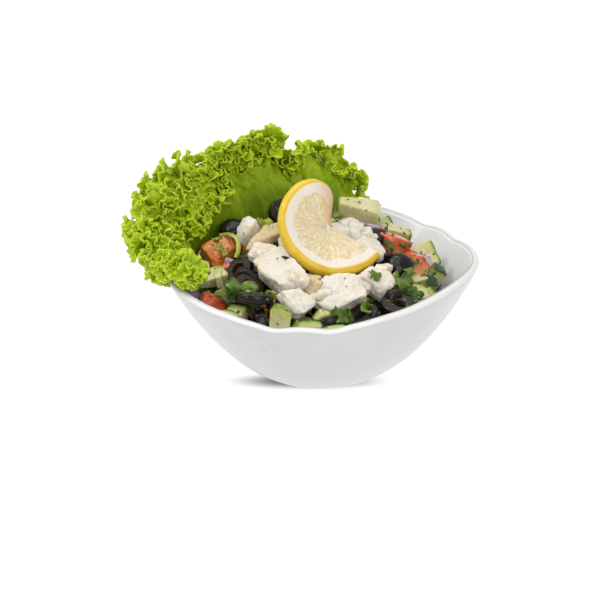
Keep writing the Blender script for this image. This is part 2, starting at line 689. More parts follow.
def vein_height(columns, rows):
    """Ridges that run out from the root and split on the way, from 0 to 1."""
    along, across = shares(columns)[:, None], shares(rows)[None, :]
    height = np.zeros((columns, rows))
    for count, start, bend in ((13, 0.0, 0.010), (26, 0.25, 0.014), (52, 0.5, 0.018)):
        sway = bend * (np.sin(along * 37 + across * 5) + 0.5 * np.sin(along * 91 - across * 9))
        line = np.abs((((along + sway) * count) % 1) - 0.5) * 2
        sharp = np.clip(1 - (1 - line) * 260 / count / 1.6, 0, 1)
        height = np.maximum(height, sharp * np.clip((across - start) * 6 + (start == 0), 0, 1))
    return height


def leaf_mesh(sheets, glow, thickness, first):
    """Skins grids into one mesh, marked with how near each point is to the margin."""
    points, faces, margin, count = [], [], [], 0
    for sheet in sheets:
        skin, quads = sheet_skin(sheet, thickness)
        points.append(skin)
        faces.append(quads + count)
        near = np.tile(np.linspace(first, 1, sheet.shape[1]), sheet.shape[0])
        margin.append(np.tile(near, 2))
        count += len(skin)
    return mesh_of(np.concatenate(points), np.concatenate(faces),
                   {"margin": np.concatenate(margin), "vein": np.broadcast_to(glow, count)})


# %% [markdown]
# A lettuce leaf is thin and wet inside, so light that falls on one side glows out of the other:
# that glow makes the frill bright yellow-green and leaves the folds deep green. Subsurface light
# that reaches 0.8 mm stands for it. The skin is waxy, so its gloss is soft (roughness 0.42). The
# blade is deeper green with paler veins, and the thin margin is the palest.

# %% Fresh lettuce
def lettuce_tone(tree, place, cloud, margin, vein):
    level = add(tree, "Math", {0: cloud, 1: 0.55, 2: margin}, operation="MULTIPLY_ADD")
    level = add(tree, "Math", {0: level, 1: 0.275}, operation="SUBTRACT")
    green = add(tree, "ValToRGB", {0: level}, stops=[
        (0.0, "#5e7602"), (0.35, "#789703"), (0.6, "#8fac09"), (0.85, "#a5be18"), (1.0, "#bccf36")])
    return add(tree, "Mix", {0: vein, 6: green, 7: "#b3bf32"}, data_type="RGBA")


lettuce = finish("fresh curly lettuce", lettuce_tone, (110.0, 3.0), (900.0, 2.0, 0.2, 0.4),
                 ["margin", "vein"], Roughness=0.42, IOR=1.4, Specular_IOR_Level=0.25,
                 Subsurface_Weight=0.45, Subsurface_Radius=(0.9, 1.0, 0.2),
                 Subsurface_Scale=0.0008)
veins = vein_height(*BLADE_GRID)
relief_rng = np.random.default_rng(8)
pleats = (0.75 * rough(relief_rng, *BLADE_GRID, 30, 4)
          + 0.25 * rough(relief_rng, *BLADE_GRID, 90, 12))
blisters = rough(relief_rng, *BLADE_GRID, 90, 15) * np.clip((shares(BLADE_GRID[1]) - 0.3) * 5, 0, 1)
relief = veins * 0.35 + pleats * 0.45 + blisters * 0.6
ridged = blade_grid + grid_normals(blade_grid) * relief[..., None]
glow = np.clip(veins * 0.3 + np.clip(pleats, 0, 1) * 0.3, 0, 1)
place_piece("lettuce_blade", leaf_mesh([ridged], np.tile(glow.ravel(), 2), BLADE_THICKNESS, 0.0),
            lettuce, "lettuce", "lettuce_leaf")
for name, first, end in (("inner", 0, 3), ("middle", 3, 5), ("upper", 5, 7),
                         ("outer", 7, 8), ("margin", 8, 9)):
    place_piece(f"lettuce_frill_{name}", leaf_mesh(tiers[first:end], 0.0, FRILL_THICKNESS, 0.5),
                lettuce, "lettuce", "lettuce_leaf")


# %% [markdown]
# ## Cut and broken food
# Chopped food is what is left of a whole after a few straight cuts, so every chunk here is made by
# cuts too. Each one starts as a finely divided cube. Every cut is a plane at some distance from
# the middle, and each point of the cube moves in along its own ray until it meets the nearest
# plane. Planes that meet are blended over a small width: a large power keeps a knife's crisp edge,
# and a smaller one gives the worn corners of broken cheese. The result is always one closed skin,
# which Boolean cuts wouldn't promise.

# %% The knife
def divided_cube(cuts):
    """Corners (from -1 to 1) and quads of a cube whose sides are divided by so many cuts."""
    form = bmesh.new()
    bmesh.ops.create_cube(form, size=2.0)
    bmesh.ops.subdivide_edges(form, edges=form.edges, cuts=cuts, use_grid_fill=True)
    corners = np.array([corner.co[:] for corner in form.verts])
    quads = np.array([[corner.index for corner in face.verts] for face in form.faces])
    form.free()
    return corners, quads


def sliced(corners, size, cuts, sharpness, ball=None):
    """Points of a piece. Cuts are (way, distance in mm); ball is the radius of a round skin."""
    rays = corners * np.asarray(size, float) / 2
    reach = np.zeros(len(rays))
    for way, distance in cuts:
        way = np.asarray(way, float)
        reach += (np.maximum(rays @ (way / np.linalg.norm(way)), 0) / distance) ** sharpness
    if ball:
        reach += (np.linalg.norm(rays, axis=1) / ball) ** sharpness
    return rays * reach[:, None] ** (-1 / sharpness)


def box_cuts(size, rng, tilt):
    """The six sides of a block, each a little off square."""
    cuts = []
    for axis in range(3):
        for side in (-1, 1):
            way = rng.normal(size=3) * tilt
            way[axis] = side
            cuts.append((way, size[axis] / 2 * rng.uniform(0.92, 1.04)))
    return cuts


def chip_cuts(size, rng, count, depth):
    """Planes that knock off corners, at a share of the way out to them."""
    half = np.asarray(size, float) / 2
    ways = unit(rng.normal(size=(count, 3)) / half)
    out = np.abs(ways * half).sum(1)
    round_out = np.sqrt(((ways * half) ** 2).sum(1))
    return list(zip(ways, round_out * (1 - depth) + out * depth))


def facing_out(points, quads):
    """The quads, turned over if they face inwards: then the volume they enclose is negative."""
    a, b, c, d = (points[quads[:, k]] for k in range(4))
    volume = (a * (np.cross(b, c) + np.cross(c, d))).sum()
    return quads if volume > 0 else quads[:, ::-1]


def grain(points, size, seed, basis="PERLIN_ORIGINAL"):
    """Noise from -1 to 1 at each point, with lumps of this size in millimetres."""
    start = np.array([7.3, 3.1, 1.7]) * seed
    return np.array([noise.noise(place, noise_basis=basis) for place in points / size + start])


def swollen(points, quads, amount):
    """The points, moved out along the surface's normals."""
    corners = points[quads]
    flat = np.cross(corners[:, 2] - corners[:, 0], corners[:, 3] - corners[:, 1])
    total = np.zeros_like(points)
    for k in range(4):
        np.add.at(total, quads[:, k], flat)
    return points + unit(total) * amount[:, None]


def turned(points, turn, centre):
    """Turns points by angles in degrees about X, Y and Z and carries them to a centre."""
    way = np.array(Euler([math.radians(angle) for angle in turn]).to_matrix())
    return points @ way.T + np.asarray(centre, float)


def faced(points, way, centre):
    """Stands points up along a direction and carries them to a centre."""
    tilt = np.array(Vector(way).to_track_quat("Z", "Y").to_matrix())
    return points @ tilt.T + np.asarray(centre, float)


def parts_of(rows, first_seed, maker, stand=turned):
    """A part for every row, which holds a centre, a size, a turn and what else maker needs."""
    parts = []
    for seed, (centre, size, turn, *more) in enumerate(rows, first_seed):
        points, quads, marks = maker(size, seed, *more)
        parts.append((stand(points, turn, centre), quads, marks))
    return parts


def joined(parts):
    """One mesh from parts, each its points, its quads and its marks."""
    points, faces, marks, count = [], [], {}, 0
    for place, quads, part_marks in parts:
        points.append(place)
        faces.append(facing_out(place, quads) + count)
        for mark, values in part_marks.items():
            marks.setdefault(mark, []).append(np.broadcast_to(values, len(place)))
        count += len(place)
    marks = {mark: np.concatenate(values) for mark, values in marks.items()}
    return mesh_of(np.concatenate(points), np.concatenate(faces), marks)


def named(kind, table):
    return [f"{kind}_{name}" for name in table]


# %% [markdown]
# ## Feta
# Feta is a brined curd cheese. It isn't cut for this salad but broken, so its chunks have a few
# large faces, worn corners, and a skin of small grains where curds tore apart. Chips stand for
# the breaks, rounded cells of 2 mm for the curds, and fine noise for the crumbs. The pieces
# slump against each other, so each is made slightly bigger than its solid, and loose crumbs
# fill the seams between them. Brine makes the cheese damp and slightly clear: light goes 4 mm
# deep, and its gloss is dull.

# %% Broken cheese
FETA = {  # centre, size, turn, and how creamy it is from 0 to 1
    "upright": ((-40, 5.5, 83.5), (10, 11, 15), (12, 14, 38), 0.0),
    "slab": ((-27.5, -2, 84), (25, 11, 8), (14, -8, 36), 0.85),
    "shoulder": ((-29, -19.5, 77.5), (20, 15, 10), (18, 10, -28), 0.25),
    "wedge": ((-22, -35, 75.5), (31, 18, 14), (22, 16, -62), 0.1),
    "front": ((-13.5, -57.5, 68), (14, 15, 11), (40, 8, 52), 0.0),
    "cream": ((-5, -43, 71.5), (13, 11, 11), (10, 20, 40), 0.8),
    "broad": ((10.5, -49.5, 69), (27, 20, 11), (36, -8, 14), 0.05),
    "corner": ((29.5, -37.5, 71), (19, 14, 12), (16, 24, -20), 0.05),
    "back": ((14.5, 3, 84), (15, 13, 13), (30, 12, 30), 0.05),
    "side": ((25.5, -7, 78.5), (21, 13, 9), (12, 22, -12), 0.1),
}


def feta_chunk(size, seed, cream, cuts=None):
    """Points, quads and marks of one broken chunk, standing at the origin."""
    rng = np.random.default_rng(seed)
    corners, quads = divided_cube(cuts or int(max(size) / 0.75))
    planes = box_cuts(size, rng, 0.22) + chip_cuts(size, rng, 11, 0.36)
    points = sliced(corners, size, planes, 15)
    lumps = 1.4 * grain(points, 8.5, seed) + 0.5 * grain(points, 3.6, seed + 1)
    curds = 0.4 * grain(points, 2.4, seed + 5, "VORONOI_F1")
    tears = -1.3 * np.maximum(grain(points, 6.0, seed + 9) - 0.22, 0)
    fine = 0.22 * grain(points, 1.1, seed + 3)
    return swollen(points, quads, lumps - curds + tears + fine), quads, {"cream": cream}


def feta_tone(tree, place, cloud, cream):
    ripe = add(tree, "Math", {0: cream, 1: 0.7, 2: cloud}, operation="MULTIPLY_ADD")
    return add(tree, "ValToRGB", {0: ripe}, stops=[
        (0.35, "#e1dacf"), (0.65, "#dfd5c5"), (0.88, "#d8c7a0"), (1.0, "#d0bb8e")])


feta = finish("brined feta", feta_tone, (120.0, 3.0), (700.0, "F1", 0.6, 0.45), ["cream"],
              Roughness=0.5, IOR=1.45, Subsurface_Weight=0.7,
              Subsurface_Radius=(1.0, 0.9, 0.7), Subsurface_Scale=0.004)
place_piece("feta_chunks", joined(parts_of(FETA.values(), 20, feta_chunk)), feta, "feta",
            *named("feta", FETA))


# %% [markdown]
# ## Olives
# The olives are black ones, stoned and sliced across, so a slice is a ring with a bulging skin, and
# the tips are small domes. The skin is smooth and wet, almost black with a violet cast. The cut
# face is duller and browner, because there the flesh shows. No olive is a true circle, so each
# ring is squeezed a little and its hole wanders.

# %% Sliced olives
OLIVE_RINGS = {  # centre, radius and thickness, way of the hole
    "back": ((-21, 31, 85), (8.5, 6.0), (0.35, -0.8, 0.45)),
    "left": ((-44.5, -18, 69), (8.5, 5.5), (-0.35, -0.3, 0.9)),
    "left_low": ((-39, -36, 67), (8.5, 5.5), (0.3, -0.35, 0.9)),
    "flat": ((-35, -56, 70), (10.0, 4.8), (0.05, 0.32, 0.95)),
    "edge": ((-32, -61, 58), (8.5, 5.2), (0.97, 0.1, 0.05)),
    "front": ((3, -65, 61), (8.5, 4.8), (-0.35, 0.25, 0.9)),
    "tilted": ((21, -61, 61), (9.2, 5.0), (-0.4, -0.25, 0.88)),
    "ring": ((41, -52, 63), (10.2, 5.2), (0.08, -0.12, 0.98)),
    "under_feta": ((27, -38, 61), (8.5, 5.0), (0.25, -0.5, 0.83)),
    "behind_feta": ((29.5, 15, 74.5), (8.0, 4.6), (-0.1, 0.1, 0.99)),
}
OLIVE_ENDS = {  # centre, radius and height, way that the dome points
    "left": ((-50, 21, 79), (7.8, 9.0), (-0.2, -0.3, 0.93)),
    "right": ((44, -12, 70), (8.0, 9.0), (0.3, -0.55, 0.8)),
}
OLIVE_HOLE, OLIVE_STEPS = 3.6, 56


def olive_ring(size, seed):
    """Points, quads and marks of a ring at the origin."""
    radius, half = size[0], size[1] / 2
    turn = np.radians(np.linspace(-72, 72, 9))
    skin = np.stack([radius * (0.91 + 0.09 * np.cos(turn) ** 0.7), half * np.sin(turn)], -1)
    top = np.stack([np.linspace(radius * 0.9, OLIVE_HOLE + 0.35, 6), np.full(6, half)], -1)
    hole = [(OLIVE_HOLE, half * 0.8), (OLIVE_HOLE - 0.15, 0), (OLIVE_HOLE, -half * 0.8)]
    section = np.vstack([skin, top, hole, top[::-1] * (1, -1)])
    cut = [0] * 9 + [0.7] + [1] * 5 + [0.75] * 3 + [1] * 5 + [0.7]
    around_hole = np.linspace(0, 2 * math.pi, OLIVE_STEPS, endpoint=False)[:, None]
    wander = np.random.default_rng(seed).uniform(-1, 1, 6)
    inner = np.clip((radius - section[:, 0]) / (radius - OLIVE_HOLE), 0, 1)
    squeeze = 1 + inner * 0.05 * np.cos(5 * around_hole)
    for share, waves, start in ((0.035 * wander[0], 2, wander[1]), (0.02 * wander[2], 3, wander[3]),
                                (0.12 * inner, 2, wander[4])):
        squeeze = squeeze + share * np.cos(waves * around_hole + start * 3)
    reach = section[:, 0] * squeeze
    points = np.stack([reach * np.cos(around_hole), reach * np.sin(around_hole),
                       np.broadcast_to(section[:, 1], reach.shape)], -1).reshape(-1, 3)
    quads = facing_out(points, quads_of((OLIVE_STEPS, len(section)), wrap=True, loop=True))
    points = swollen(points, quads, 0.22 * grain(points, 3.0, seed))
    return points, quads, {"cut": np.tile(cut, OLIVE_STEPS)}


def olive_end(size, seed):
    """The tip of an olive: a ball drawn out upwards and cut flat below."""
    radius, height = size
    corners, quads = divided_cube(18)
    below = 0.6 * height
    points = sliced(corners, [2 * radius] * 3, [((0, 0, -1), below)], 26, ball=radius)
    points[:, 2] *= np.where(points[:, 2] > 0, 0.54 * height / radius, 1.0)
    points = swollen(points, quads, 0.3 * grain(points, 5.0, seed))
    return points, quads, {"cut": points[:, 2] < 0.25 - below}


def olive_tone(tree, place, cloud, cut):
    skin = add(tree, "ValToRGB", {0: cloud}, stops=[(0.35, "#0e0b0b"), (0.65, "#1d1717")])
    flesh = add(tree, "ValToRGB", {0: cloud}, stops=[(0.3, "#231a18"), (0.7, "#40332b")])
    return {"Base Color": add(tree, "Mix", {0: cut, 6: skin, 7: flesh}, data_type="RGBA"),
            "Roughness": add(tree, "MapRange", {0: cut, 3: 0.24, 4: 0.45})}


olive = finish("black olive", olive_tone, (260.0, 3.0), (1100.0, 2.0, 0.2, 0.35), ["cut"],
               IOR=1.4, Specular_IOR_Level=0.25, Coat_Weight=0.25, Coat_Roughness=0.12)
olive_parts = parts_of(OLIVE_RINGS.values(), 40, olive_ring, faced)
olive_parts += parts_of(OLIVE_ENDS.values(), 60, olive_end, faced)
place_piece("olive_slices", joined(olive_parts), olive, "olive",
            *named("olive", OLIVE_RINGS), *named("olive_end", OLIVE_ENDS))


# %% [markdown]
# ## Cucumber
# The cucumber was cut into sticks and cubes with the rind left on. On a cut face one sees the rind
# as a dark green line, then a bright line, then pale wet flesh, and near the middle of the fruit
# the seeds. So every point is marked with its depth below the rind, in millimetres, and the
# colours follow the depth. The rind is the curved side of each piece.

# %% Cut cucumber
CUCUMBER = {  # centre, size (length, depth to the rind, height), turn, how deep it was peeled
    "slab": ((24, 44.5, 79.5), (15, 27, 15), (0, 6, -95), 2.2),
    "back": ((46, 38, 69.5), (8, 16, 7), (-12, 18, -88), 0.0),
    "stick": ((58.5, 27, 62.5), (8, 17, 8), (8, 30, -62), 0.0),
    "rind_cube": ((60, -11, 59), (8, 8, 8), (130, 20, 30), 0.0),
    "rind_edge": ((66, 5, 58.5), (8, 8, 8), (110, 30, 20), 0.0),
    "right": ((52, -30, 60), (9, 10, 9), (20, 30, 30), 0.0),
    "thin": ((62, -23, 56), (10, 5, 7), (30, 20, -60), 0.0),
    "block": ((-22, -67, 62.3), (10, 15, 9), (96, -4, 166), 0.9),
    "front_left": ((-44, -56, 60), (9, 9, 10), (30, 0, -20), 0.4),
    "sliver": ((-10, -70, 58), (5, 10, 5), (10, 20, 60), 0.3),
    "left": ((-59.5, -23.5, 67.5), (14, 9, 8), (20, 0, 10), 0.6),
}
CUCUMBER_RADIUS = 21.0


def cucumber_cut(size, seed, peeled=0.0, cuts=8, keenness=26):
    """Points, quads and marks of one piece; its rind is the side towards +Y."""
    rng = np.random.default_rng(seed)
    planes = [cut for cut in box_cuts(size, rng, 0.14) if cut[0][1] != 1]
    core = size[1] / 2 - CUCUMBER_RADIUS
    most = math.degrees(math.asin(min(size[0] / 2 / CUCUMBER_RADIUS, 0.9)))
    for angle in np.radians(np.linspace(-most, most, 5)):
        planes.append(((math.sin(angle), math.cos(angle), 0),
                       CUCUMBER_RADIUS + core * math.cos(angle)))
    corners, quads = divided_cube(cuts)
    points = sliced(corners, size, planes, keenness)
    depth = CUCUMBER_RADIUS - np.hypot(points[:, 0], points[:, 1] - core)
    wet = 0.14 * grain(points, 2.2, seed) + 0.25 * grain(points, 6.0, seed + 3)
    points = swollen(points, quads, wet * np.clip(depth, 0.15, 1))
    return points, quads, {"depth": depth + peeled}


def cucumber_tone(tree, place, cloud, depth):
    drift = add(tree, "Math", {0: cloud, 1: 1.2, 2: depth}, operation="MULTIPLY_ADD")
    way = add(tree, "MapRange", {0: drift, 1: 0.6, 2: 20.6})
    tone = add(tree, "ValToRGB", {0: way}, stops=[
        (0.02, "#1d3d16"), (0.04, "#3f6220"), (0.07, "#93a43e"), (0.14, "#bdbf76"),
        (0.3, "#cbc490"), (0.6, "#d3cca2"), (0.8, "#c9c08a")])
    cells = add(tree, "TexVoronoi", {"Vector": place, "Scale": 330.0})
    inside = add(tree, "MapRange", {0: depth, 1: 7.0, 2: 11.0})
    seed = add(tree, "MapRange", {0: cells, 1: 0.28, 2: 0.16, 4: 0.6})
    seeded = add(tree, "Math", {0: seed, 1: inside}, operation="MULTIPLY")
    pale = add(tree, "Mix", {0: seeded, 6: tone, 7: "#e2ddb4"}, data_type="RGBA")
    dust = add(tree, "TexNoise", {"Vector": place, "Scale": 620.0, "Detail": 4.0})
    dusty = add(tree, "MapRange", {0: dust, 1: 0.54, 2: 0.7, 4: 0.32})
    return add(tree, "Mix", {0: dusty, 6: pale, 7: "#6c6c26"}, data_type="RGBA")


cucumber = finish("fresh cucumber", cucumber_tone, (300.0, 3.0), (700.0, 3.0, 0.3, 0.4), ["depth"],
                  Roughness=0.22, IOR=1.35, Subsurface_Weight=0.6,
                  Subsurface_Radius=(1.0, 1.0, 0.6), Subsurface_Scale=0.003,
                  Coat_Weight=0.35, Coat_Roughness=0.12)
cucumber_parts = parts_of(CUCUMBER.values(), 70, lambda size, seed, peeled: cucumber_cut(
    size, seed, peeled, int(max(size) / 0.9), 9 if peeled > 1 else 22))
place_piece("cucumber_cuts", joined(cucumber_parts), cucumber, "cucumber",
            *named("cucumber", CUCUMBER))


# %% [markdown]
# ## Tomato
# A tomato chunk has one curved side of glossy skin and wet, slightly grainy cut faces. The flesh
# right under the skin is the reddest, and it pales to orange-pink towards the core. Each point
# again carries its depth below the skin. The one at the left is less ripe, so it is orange.

# %% Cut tomato
TOMATO = {  # centre, size, turn, and how ripe it is
    "left": ((-56, 0, 74), (18, 14, 12), (28, -14, 24), 0.0),
    "front_left": ((-57.5, -47, 62.8), (13.5, 9.5, 9), (10, 28, 22), 1.0),
    "right": ((41, 12, 72), (14, 12, 14), (0, 22, 30), 0.8),
    "far_right": ((53, 0, 64), (13, 13, 16), (-8, 18, 20), 0.75),
}
TOMATO_RADIUS = 26.0


def tomato_cut(size, seed, ripe=0.8, cuts=8):
    """Points, quads and marks of a chunk; its skin is the side towards +Z."""
    rng = np.random.default_rng(seed)
    planes = [cut for cut in box_cuts(size, rng, 0.22) if cut[0][2] != 1]
    planes += chip_cuts(size, rng, 7, 0.5)
    core = size[2] / 2 - TOMATO_RADIUS
    for lean, way in [(0, 0)] + [(math.radians(13), k * math.pi / 3) for k in range(6)]:
        side = math.sin(lean)
        planes.append(((side * math.cos(way), side * math.sin(way), math.cos(lean)),
                       TOMATO_RADIUS + core * math.cos(lean)))
    corners, quads = divided_cube(cuts)
    points = sliced(corners, size, planes, 15)
    depth = TOMATO_RADIUS - np.linalg.norm(points - (0, 0, core), axis=1)
    uneven = 0.9 * grain(points, 4.5, seed) + 0.25 * grain(points, 1.6, seed + 4)
    points = swollen(points, quads, uneven * np.clip(depth / 2, 0.25, 1))
    return points, quads, {"depth": depth, "ripe": ripe}


def tomato_tone(tree, place, cloud, depth, ripe):
    drift = add(tree, "Math", {0: cloud, 1: 5.0, 2: depth}, operation="MULTIPLY_ADD")
    way = add(tree, "MapRange", {0: drift, 1: 1.5, 2: 13.0})
    red = add(tree, "ValToRGB", {0: way}, stops=[
        (0.0, "#c24018"), (0.25, "#d05a32"), (0.6, "#dd8258"), (1.0, "#e4aa86")])
    orange = add(tree, "ValToRGB", {0: way}, stops=[
        (0.0, "#bf5f1c"), (0.25, "#cb842c"), (0.6, "#d09d44"), (1.0, "#c9b05c")])
    return add(tree, "Mix", {0: ripe, 6: orange, 7: red}, data_type="RGBA")


tomato = finish("ripe tomato", tomato_tone, (260.0, 3.0), (520.0, 2.0, 0.5, 0.35),
                ["depth", "ripe"], Roughness=0.16, IOR=1.36, Subsurface_Weight=0.35,
                Subsurface_Radius=(1.6, 0.5, 0.3), Subsurface_Scale=0.002,
                Coat_Weight=0.6, Coat_Roughness=0.06)
tomato_parts = parts_of(TOMATO.values(), 90, lambda *row: tomato_cut(*row, cuts=18))
place_piece("tomato_chunks", joined(tomato_parts), tomato, "tomato", *named("tomato", TOMATO))


# %% [markdown]
# ## Onion
# Red onion comes apart in layers, so a piece is a bent strip, as thick as one layer, about 2 mm.
# It is white-violet inside and purple on its outer side.

# %% Onion layer
ONION_RADIUS = 16.0


def onion_strip(size, seed, columns=26, rows=14):
    """Points, quads and marks of a piece of one layer, bowed outwards to +Y."""
    width, thick, height = size
    x = np.linspace(-width / 2, width / 2, columns)[:, None]
    z = np.linspace(-height / 2, height / 2, rows)[None, :] * (1 - 0.12 * (x / width * 2) ** 2)
    y = np.sqrt(ONION_RADIUS**2 - x**2) - ONION_RADIUS
    points, quads = sheet_skin(np.stack(np.broadcast_arrays(x, y, z), -1), thick)
    quads = facing_out(points, quads)
    points = swollen(points, quads, 0.12 * grain(points, 2.5, seed))
    side = points[:, 1] > np.sqrt(ONION_RADIUS**2 - points[:, 0] ** 2) - ONION_RADIUS
    return points, quads, {"outside": side}


def onion_tone(tree, place, cloud, outside):
    mixed = add(tree, "Math", {0: outside, 1: 0.45, 2: cloud}, operation="MULTIPLY_ADD")
    return add(tree, "ValToRGB", {0: mixed},
               stops=[(0.4, "#ddd0d4"), (0.6, "#c6adbb"), (0.85, "#9d7c93")])


onion = finish("red onion", onion_tone, (300.0, 2.0), None, ["outside"], Roughness=0.28,
               IOR=1.36, Subsurface_Weight=0.4, Subsurface_Radius=(1.0, 0.8, 0.9),
               Subsurface_Scale=0.0015)
onion_rows = [((31, 28, 76), (11.0, 2.3, 6.0), (10, 20, 15))]
place_piece("onion_piece", joined(parts_of(onion_rows, 95, onion_strip)),
            onion, "onion", "onion_layer")


# %% [markdown]
# ## The lemon slice
# The slice was cut once, from its middle out through the rind, and its two ends were twisted apart,
# so that it stands up by itself. Flat, it would be a disc; here the line of the rind is a spline
# through thirteen points, and every circle of the slice shrinks along it towards the middle. The
# section across that line has two faces and a rounded rind, and is carried round as one closed
# grid. On the faces the pulp sinks a little below the white pith, thin skins part it into
# segments, and within each the juice sacs lie as long drops that point at the middle.

# %% Twisted slice
LEMON_RADIUS, LEMON_THICKNESS, LEMON_HUB, LEMON_BOW = 32.0, 5.8, 0.02, 0.25
LEMON_CENTRE = np.array((2.0, -9.0, 91.3))
LEMON_LEAN = math.radians(24)
LEMON_RIM = np.array((
    (0.90, -0.50, -0.05), (0.69, -0.68, 0.18), (0.39, -0.78, 0.38), (0.05, -0.80, 0.47),
    (-0.31, -0.65, 0.58), (-0.60, -0.35, 0.63), (-0.73, 0.02, 0.63), (-0.67, 0.38, 0.60),
    (-0.46, 0.66, 0.50), (-0.20, 0.77, 0.30), (0.00, 0.70, -0.05), (0.07, 0.56, -0.42),
    (0.06, 0.38, -0.72)))
LEMON_COLUMNS, FACE_POINTS, PITH_POINTS, RIM_POINTS = 300, 58, 16, 11
SEGMENTS = 8.4
SACS = 9.0, 11.5  # juice sacs across a segment, and from the middle to the rind
PULP_END = 0.82
HOOK = 0.72  # share of the way round at which the narrow hooked end begins


def past_hook(width):
    """How far each column is past the hook, from 0 to 1."""
    return np.clip((shares(LEMON_COLUMNS) - HOOK) / width, 0, 1)[:, None]


def lemon_middle(reach):
    """Points of the slice's middle surface, at shares of the radius."""
    lean_up = np.array((0.0, math.sin(LEMON_LEAN), math.cos(LEMON_LEAN)))
    lean_out = np.array((0.0, -math.cos(LEMON_LEAN), math.sin(LEMON_LEAN)))
    rim = spline(LEMON_RIM, shares(LEMON_COLUMNS))[:, None]
    share = reach[None, :, None]
    bowed = rim[..., 2:] * (1 - LEMON_BOW * (1 - share))
    flat = rim[..., :1] * np.array((1.0, 0, 0)) + rim[..., 1:2] * lean_up + bowed * lean_out
    return LEMON_CENTRE + LEMON_RADIUS * share * flat


def lemon_marks(reach):
    """Each point's place among the segments, and how pulpy and how near a thin skin it is."""
    turn = np.linspace(0, SEGMENTS, LEMON_COLUMNS)[:, None] + 0.25 * np.sin(reach * 3)[None, :]
    share = np.broadcast_to(reach[None, :], turn.shape)
    within = turn % 1
    round_end = PULP_END - 0.4 * past_hook(0.16) - 0.06 * (1 - np.sin(math.pi * within) ** 0.5)
    pulp = np.clip((round_end - share) / 0.03, 0, 1) * np.clip((share - 0.05) / 0.06, 0, 1)
    away = np.minimum(within, 1 - within) * 5.3 * LEMON_RADIUS / SEGMENTS * share
    skin = np.exp(-((away / 0.55) ** 2)) * np.clip((share - 0.1) / 0.1, 0, 1)
    return turn, share, pulp, skin


def make_lemon():
    across = np.concatenate([np.linspace(0, PULP_END, FACE_POINTS, endpoint=False),
                             np.linspace(PULP_END, 1, PITH_POINTS)])
    reach = LEMON_HUB + (1 - LEMON_HUB) * across
    middle = lemon_middle(reach)
    out = unit(np.cross(np.gradient(middle, axis=0), np.gradient(middle, reach, axis=1)))
    rimward = unit(np.gradient(middle, axis=1))[:, -1]
    turn, share, pulp, skin = lemon_marks(reach)
    thick = np.clip((0.5 - shares(LEMON_COLUMNS)) / 0.2, 0, 1)[:, None]
    half = LEMON_THICKNESS / 2 * (1 + 0.25 * thick)
    spots = np.stack([turn * SACS[0], share * SACS[1], np.zeros_like(turn)], -1).reshape(-1, 3)
    wide = grain(middle.reshape(-1, 3), 7.0, 3).reshape(turn.shape)
    sheets = []
    for side, shift in ((1, 0), (-1, 31)):
        sacs = grain(spots + shift, 1, 0, "VORONOI_F1").reshape(turn.shape)
        height = half - pulp * (0.3 + 0.3 * sacs * (1 - 0.7 * skin)) + 0.35 * wide * pulp
        height = height - 0.9 * np.clip((share - 0.955) / 0.045, 0, 1) ** 2.5
        sheets.append(middle + out * (side * height)[..., None])
    lean = np.radians(np.linspace(62, -62, RIM_POINTS))
    dimples = 0.10 * np.random.default_rng(5).normal(size=(LEMON_COLUMNS, RIM_POINTS))
    edge = middle[:, -1:] + out[:, -1:] * (half * 0.85 * np.sin(lean))[..., None]
    edge = edge + rimward[:, None] * (1.7 * np.cos(lean)[None, :] - 0.45 + dimples)[..., None]
    grid = np.concatenate([sheets[0], edge, sheets[1][:, ::-1]], 1)

    many = grid.shape[1]
    low = np.arange(many // 2)
    high = many - 1 - low
    end = np.stack([low[:-1], high[:-1], high[1:], low[1:]], -1).tolist()
    end.append([many // 2 - 1, many - many // 2, many // 2])
    last = (LEMON_COLUMNS - 1) * many
    far_end = [[corner + last for corner in face[::-1]] for face in end]
    faces = quads_of(grid.shape[:2], loop=True).tolist() + end + far_end

    def skinned(values, at_rim):
        edge_values = np.full((LEMON_COLUMNS, RIM_POINTS), at_rim)
        return np.concatenate([values, edge_values, values[:, ::-1]], 1).ravel()

    return mesh_of(grid.reshape(-1, 3), faces, {
        "pulp": skinned(pulp, 0.0), "skin": skinned(skin, 0.0),
        "rind": skinned(np.clip((share - 0.965 + 0.035 * thick) / 0.02, 0, 1), 1.0),
        "turn": skinned(turn, 0.0), "reach": skinned(share, 1.0),
        "warm": np.repeat(past_hook(0.14), many)}, turn_out=True)


# %% [markdown]
# Lemon flesh is clear jelly in thin white bags, so light goes in and comes out pale yellow: the
# pulp gets a wide subsurface of 2 mm and a wet gloss. The pith is dry and white. The zest is a
# deep yellow, pitted with small oil glands about 0.9 mm apart.

